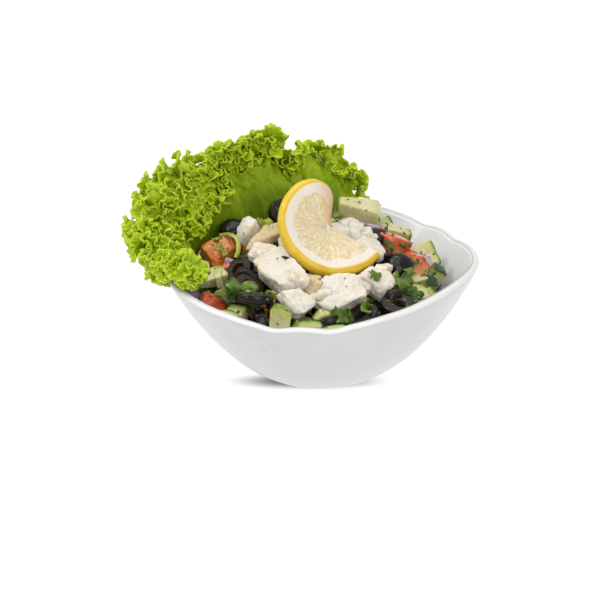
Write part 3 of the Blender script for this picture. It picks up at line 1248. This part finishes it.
# %% Fresh lemon
def lemon_tone(tree, place, cloud, pulp, skin, rind, turn, reach, warm):
    sideways = add(tree, "Math", {0: turn, 1: SACS[0]}, operation="MULTIPLY")
    outwards = add(tree, "Math", {0: reach, 1: SACS[1]}, operation="MULTIPLY")
    spot = add(tree, "CombineXYZ", {0: sideways, 1: outwards})
    sacs = add(tree, "TexVoronoi", {"Vector": spot, "Scale": 1.0})
    clear = add(tree, "ValToRGB", {0: sacs}, stops=[
        (0.0, "#d6c28e"), (0.3, "#dcca9c"), (0.6, "#e5d6b0"), (0.9, "#efe3c8")])
    faint = add(tree, "Math", {0: skin, 1: 0.45}, operation="MULTIPLY")
    pith = add(tree, "ValToRGB", {0: cloud}, stops=[(0.3, "#eae1d2"), (0.7, "#ebe4d8")])
    zest = add(tree, "ValToRGB", {0: cloud}, stops=[(0.3, "#e0b933"), (0.7, "#e6c74e")])
    thin = add(tree, "Math", {0: warm, 1: 0.9}, operation="MULTIPLY")
    bagged = add(tree, "Mix", {0: faint, 6: clear, 7: "#eee0c0"}, data_type="RGBA")
    face = add(tree, "Mix", {0: pulp, 6: pith, 7: bagged}, data_type="RGBA")
    shaded = add(tree, "Mix", {0: thin, 6: face, 7: "#d3a766"}, data_type="RGBA")
    return {"Base Color": add(tree, "Mix", {0: rind, 6: shaded, 7: zest}, data_type="RGBA"),
            "Roughness": add(tree, "MapRange", {0: pulp, 3: 0.42, 4: 0.16})}


lemon = finish("fresh lemon", lemon_tone, (160.0, 2.0), (1100.0, "SMOOTH_F1", 0.4, 0.5),
               ["pulp", "skin", "rind", "turn", "reach", "warm"], IOR=1.36,
               Subsurface_Weight=0.45, Subsurface_Radius=(1.2, 1.0, 0.45),
               Subsurface_Scale=0.002)
place_piece("lemon_slice_twisted", make_lemon(), lemon, "lemon", "lemon_slice")


# %% [markdown]
# ## The mixed salad
# Below the large pieces lies the salad itself: cucumber, tomato, olive and onion, chopped to dice
# of 5 to 9 mm and tossed with green leaves. Only its top layer can be seen. So a dark, lumpy core
# fills the bowl to a few millimetres under the surface, and real dice are strewn over it. The core
# takes its heights from the solid heap, which already gives way where a large piece lies on it.

# %% Core of the heap
heap_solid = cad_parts["salad_heap"].data
heap_tree = BVHTree.FromPolygons([corner.co[:] for corner in heap_solid.vertices],
                                 [face.vertices[:] for face in heap_solid.polygons])
LAYER = 5.0  # how far the core lies below the heap's surface
WALL_AIR = 1.2
RIM_LEVEL, LOWEST = 52.0, 30.0  # height at which the heap meets the bowl, and its least height
CORE_FLOOR, CORE_STEPS, CORE_RINGS = FLOOR + 1.0, 300, 84


def wall_reach(azimuth, height):
    """Radius of the bowl's inner face at an azimuth and height."""
    line = inner_line(60)[5:]
    share = np.maximum(height / BOWL_HEIGHT, 0) ** 3
    level = height - share * rim_rise(azimuth)
    return np.interp(level, line[:, 1], line[:, 0]) + share * rim_spread(azimuth)


def heap_height(x, y):
    """Height of the solid heap's surface in millimetres, looked up from above."""
    for shrink in (1.0, 0.98, 0.95, 0.9):
        above = Vector((x * shrink * MM, y * shrink * MM, 0.2))
        hit = heap_tree.ray_cast(above, Vector((0, 0, -1)))[0]
        if hit and hit.z > LOWEST * MM:
            return hit.z / MM
    return RIM_LEVEL - 2


def heap_core():
    """Points and faces of the core, and how many of the points are on its top."""
    azimuth = np.linspace(0, 2 * math.pi, CORE_STEPS, endpoint=False)
    edge = wall_reach(azimuth, np.full(CORE_STEPS, RIM_LEVEL)) - WALL_AIR
    top = around(np.linspace(0.006, 1, CORE_RINGS)[:, None] * edge, azimuth,
                 np.zeros((CORE_RINGS, CORE_STEPS)))
    flat = top.reshape(-1, 3)
    flat[:, 2] = np.array([heap_height(x, y) for x, y, _ in flat]) - LAYER
    curds = grain(flat, 3.2, 6, "VORONOI_F1")
    flat[:, 2] += 2.0 * grain(flat, 7.0, 2) + 0.9 * grain(flat, 2.8, 4) - 0.6 * curds
    most = wall_reach(azimuth[None, :], top[..., 2]) - WALL_AIR
    top[..., :2] *= np.minimum(1, most / np.hypot(top[..., 0], top[..., 1]))[..., None]
    height = top[-1, :, 2] + (CORE_FLOOR - top[-1, :, 2]) * shares(12)[1:, None]
    sides = around(wall_reach(azimuth, height) - WALL_AIR, azimuth, height)
    grid = np.concatenate([top, sides])
    ends = [[0.0, 0.0, top[0, :, 2].mean()], [0.0, 0.0, CORE_FLOOR]]
    ring = np.arange(CORE_STEPS)
    count = grid.shape[0] * CORE_STEPS
    faces = quads_of(grid.shape[:2], loop=True).tolist()
    faces += lid(ring, count) + lid(ring + count - CORE_STEPS, count + 1, flip=True)
    return np.vstack([grid.reshape(-1, 3), ends]), faces, top.shape[0] * CORE_STEPS


def core_tone(tree, place, cloud):
    bits = add(tree, "TexVoronoi", {"Vector": place, "Scale": 190.0}).outputs["Color"]
    return add(tree, "ValToRGB", {0: add(tree, "SeparateColor", {0: bits})}, stops=[
        (0.0, "#1b2b0c"), (0.3, "#2f4a12"), (0.5, "#4a6420"), (0.68, "#1d1a1c"),
        (0.8, "#6f7d3a"), (1.0, "#243a10")])


core_points, core_faces, top_count = heap_core()
core_mesh = mesh_of(core_points, core_faces, turn_out=True)
dressed_salad = finish("tossed salad in shadow", core_tone, None, (500.0, 2.0, 0.6, 0.5),
                       Roughness=0.35, IOR=1.4)
place_piece("salad_core", core_mesh, dressed_salad, "mixed_salad", "salad_heap")


# %% [markdown]
# ### Strewing
# Nobody places dice one by one, and neither does this lesson. A small Geometry Nodes tree strews
# one shape over a surface: it scatters points that keep a distance from each other, gives every
# point one random number, and lets a kind of food take the points whose number lies between a low
# and a high mark. All kinds share the seed, so together they fill all points without sitting in
# each other. Then each piece is turned and scaled at random, and the copies are made real.

# %% A tree that strews
def strewing_tree():
    tree = bpy.data.node_groups.new("strew food", "GeometryNodeTree")
    for kind, names in (
            ("Geometry", ["Geometry"]), ("Object", ["Shape"]), ("Material", ["Material"]),
            ("Int", ["Seed"]), ("Float", ["Spacing", "Density", "Low", "High", "Smallest",
                                          "Largest", "Tumble", "Lift"])):
        for name in names:
            tree.interface.new_socket(name, in_out="INPUT", socket_type=f"NodeSocket{kind}")
    tree.interface.new_socket("Geometry", in_out="OUTPUT", socket_type="NodeSocketGeometry")
    given = tree.nodes.new("NodeGroupInput").outputs
    seed, tumble = given["Seed"], given["Tumble"]
    room = add(tree, "GeometryNodeInputNamedAttribute", {0: "room"}, data_type="FLOAT")
    points = add(tree, "GeometryNodeDistributePointsOnFaces", {
        "Mesh": given["Geometry"], "Distance Min": given["Spacing"], "Seed": seed,
        "Density Max": given["Density"], "Density Factor": room}, distribute_method="POISSON")
    up = add(tree, "VectorMath", {0: points.outputs["Normal"], "Scale": given["Lift"]},
             operation="SCALE")
    lifted = add(tree, "GeometryNodeSetPosition", {"Geometry": points, "Offset": up})
    chance = add(tree, "FunctionNodeRandomValue", {"Seed": seed}, data_type="FLOAT")
    above = add(tree, "FunctionNodeCompare", {0: chance, 1: given["Low"]},
                operation="GREATER_EQUAL")
    below = add(tree, "FunctionNodeCompare", {0: chance, 1: given["High"]}, operation="LESS_THAN")
    taken = add(tree, "FunctionNodeBooleanMath", {0: above, 1: below}, operation="AND")
    back = add(tree, "Math", {0: tumble, 1: -1.0}, operation="MULTIPLY")
    least = add(tree, "CombineXYZ", {0: back, 1: back, 2: -math.pi})
    most = add(tree, "CombineXYZ", {0: tumble, 1: tumble, 2: math.pi})
    turn = add(tree, "FunctionNodeRandomValue", {0: least, 1: most, "Seed": 7},
               data_type="FLOAT_VECTOR")
    lying = add(tree, "FunctionNodeRotateRotation", {0: points.outputs["Rotation"], 1: turn},
                rotation_space="LOCAL")
    size = add(tree, "FunctionNodeRandomValue",
               {0: given["Smallest"], 1: given["Largest"], "Seed": 8}, data_type="FLOAT_VECTOR")
    shape = add(tree, "GeometryNodeObjectInfo", {"Object": given["Shape"]}).outputs["Geometry"]
    copies = add(tree, "GeometryNodeInstanceOnPoints", {
        "Points": lifted, "Selection": taken, "Instance": shape, "Rotation": lying, "Scale": size})
    real = add(tree, "GeometryNodeRealizeInstances", {0: copies})
    dressed = add(tree, "GeometryNodeSetMaterial",
                  {"Geometry": real, "Material": given["Material"]})
    tree.links.new(dressed.outputs[0], tree.nodes.new("NodeGroupOutput").inputs[0])
    return tree


STREW = strewing_tree()


def strewn(ground, part, material, **numbers):
    """A plain mesh of one part strewn over a ground mesh by the tree above."""
    base = bpy.data.objects.new("ground", ground)
    model = bpy.data.objects.new("shape", joined([part]))
    for helper in (base, model):
        bpy.context.scene.collection.objects.link(helper)
    modifier = base.modifiers.new("strew", "NODES")
    modifier.node_group = STREW
    values = {"Shape": model, "Material": material, **numbers}
    for socket in STREW.interface.items_tree:
        if socket.in_out == "INPUT" and socket.name in values:
            modifier[socket.identifier] = values[socket.name]
    bpy.context.view_layer.update()
    graph = bpy.context.evaluated_depsgraph_get()
    mesh = bpy.data.meshes.new_from_object(base.evaluated_get(graph))
    base.modifiers.clear()
    for helper in (base, model):
        bpy.data.objects.remove(helper)
    mesh.shade_smooth()
    return mesh


# %% [markdown]
# ### The dice
# The dice are cut with the same knife as the large pieces, but coarsely: a shape that is repeated
# hundreds of times needs only about fifty faces. Because the tree scales each side on its own, no
# two dice look alike. Green leaves went in as torn flakes: a small ruffled sheet does for them.

# %% Shapes to strew
DIE_CUTS = 2


def leaf_flake(size, seed, columns=10, rows=7, curl=0.5, thick=0.35):
    """Points, quads and marks of a torn, ruffled leaf lying flat, its tip towards +X."""
    length, width = size
    rng = np.random.default_rng(seed)
    along = shares(columns)[:, None]
    across = np.linspace(-1, 1, rows)[None, :]
    lobes = 1 + 0.2 * np.sin(along * 9 + rng.uniform(0, 6))
    lobes = lobes + 0.12 * np.sin(along * 21 + rng.uniform(0, 6))
    half = width / 2 * (np.sin(math.pi * (0.06 + 0.88 * along)) ** 0.6) * lobes
    x = (along - 0.5) * length + 0 * across
    y = half * across + 0.12 * length * np.sin(along * 3 + rng.uniform(0, 3))
    waves = rng.uniform(0, 6, 3)
    z = 0.35 * np.abs(across) ** 1.5 * np.sin(along * 11 + waves[0] + 2 * across)
    z = z + 0.3 * np.sin(along * 4 + waves[1]) + 0.25 * np.sin(across * 2.4 + waves[2])
    points, quads = sheet_skin(np.stack([x, y, curl * width * z], -1), thick)
    return points, facing_out(points, quads), {}


def olive_bit():
    """A third of an olive slice: coarse, curved, with one skin side."""
    turn = np.linspace(-1.15, 1.15, 7)[:, None]
    section = np.array([(8.2, -1.6), (8.6, 0.0), (8.2, 1.6), (5.4, 2.0),
                        (3.7, 1.7), (3.6, 0), (3.7, -1.7), (5.4, -2.0)])
    reach, height = section[None, :, 0], section[None, :, 1]
    grid = np.stack([reach * np.cos(turn) - 6.0, reach * np.sin(turn), height + 0 * turn], -1)
    end = np.array([[0, 1, 2, 3], [7, 0, 3, 4], [7, 4, 5, 6]])
    far_end = end[:, ::-1] + (len(turn) - 1) * len(section)
    quads = np.concatenate([quads_of(grid.shape[:2], loop=True), end, far_end])
    return grid.reshape(-1, 3), quads, {"cut": np.tile([0, 0, 0, 1, 1, 1, 1, 1], len(turn))}


def green_leaf(name, *shades):
    """A leaf's finish: three greens, and a net of veins about 1.4 mm apart."""
    recipe = lambda tree, place, cloud: add(
        tree, "ValToRGB", {0: cloud}, stops=list(zip((0.3, 0.5, 0.7), shades)))
    return finish(name, recipe, (95.0, 3.0), (700.0, "DISTANCE_TO_EDGE", 0.3, 0.4),
                  Roughness=0.3, IOR=1.4, Subsurface_Weight=0.35,
                  Subsurface_Radius=(0.6, 1.0, 0.15), Subsurface_Scale=0.0008)


herbs = green_leaf("chopped parsley", "#2a4413", "#466420", "#728a34")


# %% Strewing the dice
WALL_GAP = 0.4
TOP_SHARE = 0.955  # share of the way to the wall on which dice may land
DICE_SPACING, DICE_SEED = 0.0058, 4
ANY_WAY, FLAT = 3.1, 0.9  # how far a die tumbles, and a leaf


def polar(points):
    """Azimuth of points about the bowl's axis, and their distance from it."""
    return np.arctan2(points[:, 0], -points[:, 1]), np.hypot(points[:, 0], points[:, 1])


def places_of(mesh):
    place = np.empty(len(mesh.vertices) * 3)
    mesh.vertices.foreach_get("co", place)
    return place.reshape(-1, 3)


def kept_inside(mesh):
    """Pulls the points that reach into the bowl's wall back in front of it."""
    place = places_of(mesh)
    azimuth, reach = polar(place)
    height = np.clip(place[:, 2] / MM, FLOOR + 2, BOWL_HEIGHT - 1)
    most = wall_reach(azimuth, height) - WALL_GAP
    place[:, :2] *= np.minimum(1, most / np.maximum(reach / MM, 1e-6))[:, None]
    mesh.vertices.foreach_set("co", place.ravel())
    mesh.update()
    return mesh


azimuth, reach = polar(core_points)
on_top = np.arange(len(core_points)) < top_count
open_top = reach / (wall_reach(azimuth, core_points[:, 2]) - WALL_AIR) < TOP_SHARE
ground = core_mesh.copy()
mark_points(ground, "room", on_top & open_top)
DICE = (  # name, part, finish, slot, low and high mark, smallest and largest, tumble, lift
    ("cucumber", cucumber_cut((7.5, 7.0, 6.5), 1, cuts=DIE_CUTS), cucumber, "cucumber",
     0.0, 0.36, 0.75, 1.3, ANY_WAY, 0.0025),
    ("greens", leaf_flake((11, 8), 2, 7, 5), herbs, "mixed_salad",
     0.36, 0.66, 0.8, 1.5, FLAT, 0.0035),
    ("olives", olive_bit(), olive, "olive", 0.66, 0.82, 0.8, 1.1, ANY_WAY, 0.002),
    ("tomato", tomato_cut((8.0, 7.0, 5.5), 3, cuts=DIE_CUTS), tomato, "tomato",
     0.82, 0.92, 0.7, 1.15, ANY_WAY, 0.002),
    ("onion", onion_strip((9.0, 1.8, 4.5), 5, 8, 4), onion, "onion",
     0.92, 1.0, 0.7, 1.2, ANY_WAY, 0.0025),
)
for name, part, material, slot, low, high, smallest, largest, tumble, lift in DICE:
    dice = strewn(ground.copy(), part, material, Spacing=DICE_SPACING, Density=200000.0,
                  Seed=DICE_SEED, Low=low, High=high, Smallest=smallest, Largest=largest,
                  Tumble=tumble, Lift=lift)
    place_piece(f"salad_{name}", kept_inside(dice), material, slot, "salad_heap")


# %% [markdown]
# ## Crumbs, herbs and small pieces
# What makes a salad look tossed is the small stuff: crumbs of feta in the seams between the chunks,
# torn leaves, a strip of pepper, thin slices against the wall, bits of olive on the white
# cheese. The ones that the eye finds are placed by hand, each by its centre, size and turn. The
# finest, the herb flakes, are strewn with the same tree as the dice.

# %% Pieces placed by hand
FETA_BITS = (  # centre, size, turn, cream
    ((-13.5, -45, 75), (10, 9, 8), (10, 30, 0), 0.3), ((-36, -11, 80), (8, 7, 6), (0, 20, 50), 0.6),
    ((-18, -16, 82), (9, 8, 6), (20, 0, 15), 0.6), ((3, -52, 70), (8, 7, 7), (0, 10, 80), 0.2),
    ((21, -44, 71), (9, 8, 6), (20, 0, 10), 0.1), ((24, 0, 83), (10, 8, 8), (0, 0, 30), 0.2),
    ((-30, -24, 79), (10, 8, 7), (15, 0, 40), 0.1), ((33, -28, 74), (9, 8, 7), (20, 0, 60), 0.2),
    ((10, -6, 87.5), (11, 10, 8), (20, 10, 20), 0.1),
    ((19, -3, 84.5), (12, 10, 8), (10, 25, 0), 0.1),
    ((29, 6, 80), (5, 3.5, 3), (0, 20, 10), 0.0), ((42, -33, 69), (5, 4, 4), (0, 0, 0), 0.0),
)
CUCUMBER_BITS = (  # centre, size, turn, here and in all lists below
    ((-7, -72.5, 61), (12, 5, 7.5), (35, 8, 20)), ((6.5, -75.5, 60.5), (13, 4.5, 6), (30, -12, -6)),
    ((38.5, 43, 73.5), (9, 9, 2.6), (10, 8, -80)), ((51, -15, 62), (8, 7, 7), (20, 10, 50)),
    ((57, -21, 57), (8, 8, 6), (0, 30, 10)), ((62, 14, 62), (8, 13, 6), (0, 20, -70)),
    ((-49, -62, 61), (8, 7, 6), (10, 20, 0)), ((-38, -48, 67), (6, 6, 5), (30, 20, 0)),
    ((-64, -18, 70), (4, 12, 8), (10, 10, 12)), ((-55, -26, 69), (4, 11, 8), (15, -5, 5)),
    ((0, -66.5, 64.5), (8, 5, 7), (20, 30, 40)), ((-13, -69.5, 59.5), (8, 5, 7), (30, 20, 70)),
)
TOMATO_BITS = (  # with ripeness
    ((-56.5, -9, 70.5), (7, 6, 5), (0, 20, 30), 0.5),
    ((-51.5, -13, 69), (6, 5, 5), (30, 0, 0), 0.6),
    ((-30.5, -58, 63.5), (4, 4, 4), (0, 0, 30), 0.7), ((50, 7, 68), (9, 6, 6), (20, 0, 60), 0.9),
)
ONION_BITS = (
    ((60.5, -1, 69), (7, 1.6, 3.4), (10, 60, 20)), ((58, 5, 69), (6, 1.6, 3), (60, 10, 80)),
    ((24.5, 30, 78.5), (8, 1.8, 4), (70, 0, -10)), ((-50.5, -9.5, 71.5), (5, 1.6, 4), (20, 20, 0)),
)
OLIVE_BITS = (
    ((-23, -12.5, 83), (5.5, 3.2, 3.2), (20, 10, 70)),
    ((-18, -33, 83), (3.6, 2.4, 2.2), (10, 0, 20)),
    ((1.0, -45.5, 74.5), (3.6, 3.4, 3), (0, 0, 30)), ((-40, -26, 70), (12, 9, 8), (10, 20, 0)),
    ((27, -33, 69), (12, 9, 8), (0, 20, 10)), ((38, -44, 66), (10, 8, 8), (0, 0, 30)),
    ((31, 12, 78), (10, 8, 6), (0, 20, 0)), ((37, -6, 70), (9, 8, 8), (0, 0, 0)),
    ((24, 15, 78), (9, 8, 7), (0, 0, 50)), ((38, -14, 70), (9, 8, 6), (10, 0, 20)),
)


def olive_crumb(size, seed):
    rng = np.random.default_rng(seed)
    corners, quads = divided_cube(8)
    points = sliced(corners, size, box_cuts(size, rng, 0.3) + chip_cuts(size, rng, 4, 0.5), 9)
    return swollen(points, quads, 0.4 * grain(points, 3.0, seed)), quads, {"cut": 0.25}


for name, rows, first_seed, maker, material, slot, node in (
    ("feta", FETA_BITS, 120, lambda *row: feta_chunk(*row, cuts=12), feta, "feta", "feta_shoulder"),
    ("cucumber", CUCUMBER_BITS, 140, cucumber_cut, cucumber, "cucumber", "salad_heap"),
    ("onion", ONION_BITS, 140, lambda *row: onion_strip(*row, 14, 7), onion, "onion", "salad_heap"),
    ("tomato", TOMATO_BITS, 160, tomato_cut, tomato, "tomato", "salad_heap"),
    ("olive", OLIVE_BITS, 180, olive_crumb, olive, "olive", "salad_heap"),
):
    place_piece(f"{name}_pieces", joined(parts_of(rows, first_seed, maker)), material, slot, node)

# %% [markdown]
# Three greens make the leaves look like different herbs: dark and bright parsley, and the pale
# heart of the lettuce. All have the shape of the strewn flakes, only finer. The strip of pepper is
# a ribbon laid along a spline, hollow side down, as a peeled strip curls.

# %% Leaves and a strip of pepper
LEAVES = (  # centre, length and width, turn, which green
    ((-42, -43.5, 72), (17, 9), (38, -6, 6), "bright"),
    ((-44, -46.5, 70.5), (15, 8), (60, 4, 2), "dark"),
    ((-50, -51, 67), (13, 10), (50, 20, 55), "bright"),
    ((-46, -51, 67.5), (12, 8), (60, 0, 80), "dark"),
    ((-54, -7, 78), (8, 6.5), (40, 10, 30), "pale"),
    ((-57.5, 1, 80.5), (7, 4), (10, 30, 120), "pale"),
    ((9, -70, 66.5), (9, 8), (60, 10, 20), "bright"), ((14, -67, 66), (8, 7), (50, 40, 90), "dark"),
    ((23.5, -61.5, 67), (10, 9), (48, 10, 50), "bright"),
    ((28.5, -44, 78), (7, 6), (40, 5, 30), "bright"),
    ((41, -28, 69.5), (15, 7), (45, 15, 80), "bright"),
    ((46.5, -25, 69), (14, 7), (45, -20, 95), "bright"),
    ((44, -36, 67), (11, 8), (60, 10, 60), "bright"), ((50, -38, 64), (9, 7), (50, 30, 20), "dark"),
    ((39.5, -39, 67), (9, 6), (60, 0, 100), "dark"), ((9.5, 30, 84), (9, 7), (60, 0, 80), "bright"),
    ((-33, 3.5, 89), (8, 5), (50, 20, 70), "pale"), ((-30.5, 8, 87), (8, 6), (30, 0, 20), "pale"),
    ((-36, -52, 67), (9, 7), (40, 20, 30), "dark"), ((-27, -52, 68), (9, 6), (40, -20, 30), "pale"),
    ((48, 8, 74), (7, 4), (30, 20, 40), "dark"), ((52, -6, 70.5), (6, 4), (30, 10, 0), "bright"),
    ((38.5, 3, 76), (8, 5), (20, 40, 20), "dark"), ((61, -6, 62), (8, 6), (10, 20, 50), "dark"),
)
STRIP = ((-56, 6, 81), (-50, 1, 83.2), (-46, -3.5, 81.5), (-45.3, -9, 77.5), (-46.8, -14, 75.5))


def pepper_strip(line, width, thick=0.9, steps=60):
    """A thin strip of pepper along a spline through points."""
    middle = spline(np.asarray(line, float), shares(steps))
    along = unit(np.gradient(middle, axis=0))
    side = unit(np.cross(along, (0.3, -0.6, 0.75)))
    taper = np.sin(math.pi * np.linspace(0.04, 0.96, steps)) ** 0.3
    across = np.linspace(-1, 1, 7)[None, :, None]
    up = np.cross(side, along)[:, None] * 0.22 * width * (1 - across**2)
    grid = middle[:, None] + side[:, None] * across * (width / 2 * taper)[:, None, None] + up
    return (*sheet_skin(grid, thick), {})


leaf_parts = parts_of(
    LEAVES, 3, lambda size, seed, green: leaf_flake(size, seed, 34, 19, 0.55, 0.4))
for shade, *look in (("dark", "dark parsley", "#2a4510", "#45621a", "#6a802a"),
                     ("bright", "bright parsley", "#3f5a12", "#61782a", "#93a03e"),
                     ("pale", "torn lettuce", "#667a1e", "#94a038", "#bcc060")):
    parts = [part for part, row in zip(leaf_parts, LEAVES) if row[-1] == shade]
    if shade == "pale":
        parts.append(pepper_strip(STRIP, 2.4))
    place_piece(f"leaves_{shade}", joined(parts), green_leaf(*look), "mixed_salad", "salad_heap")


# %% [markdown]
# ### Herb flakes
# Dried herb clings to the dressing, so flakes lie flat on whatever is below. They are only one or
# two millimetres across, and the cheese, laid on last, carries fewer of them.

# %% Herb flakes
def ground_of(names, low):
    """One mesh of several pieces, with room for flakes where it faces up."""
    points, faces, count = [], [], 0
    for name in names:
        mesh = bpy.data.objects[name].data
        points.append(places_of(mesh))
        faces += [[corner + count for corner in face.vertices] for face in mesh.polygons]
        count += len(mesh.vertices)
    mesh = bpy.data.meshes.new("ground")
    mesh.from_pydata(np.concatenate(points).tolist(), [], faces)
    normals = np.array([corner.vector[:] for corner in mesh.vertex_normals])
    mark_points(mesh, "room", np.clip((normals[:, 2] - low) * 3, 0, 1))
    return mesh


flake = leaf_flake((1.7, 1.2), 30, 5, 4, 0.3, 0.25)
flakes = strewn(ground_of(("cucumber_cuts", "cucumber_pieces", "tomato_chunks", "olive_slices"),
                          -0.1), flake, herbs, Spacing=0.0028, Density=45000.0, Seed=3, Low=0.0,
                High=0.6, Smallest=0.4, Largest=1.5, Tumble=0.35, Lift=0.0002)
place_piece("herb_flakes", flakes, herbs, "mixed_salad", "salad_heap")
few = strewn(ground_of(("feta_chunks",), 0.3), flake, herbs, Spacing=0.005, Density=9000.0, Seed=6,
             Low=0.0, High=0.5, Smallest=0.4, Largest=1.1, Tumble=0.35, Lift=0.0002)
place_piece("herb_flakes_on_feta", few, herbs, "mixed_salad", "feta_shoulder")


# %% [markdown]
# ## Check the size and finish
# The finished salad should fill the same box as its solid model, so both boxes are written down
# side by side.

# %% Compare the boxes
visual_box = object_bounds()
boxes = {"cad": [list(corner) for corner in cad_box],
         "visual": [list(corner) for corner in visual_box]}
for name, (low, high) in boxes.items():
    print(name, "box, mm:", [round(1000 * (b - a), 1) for a, b in zip(low, high)])
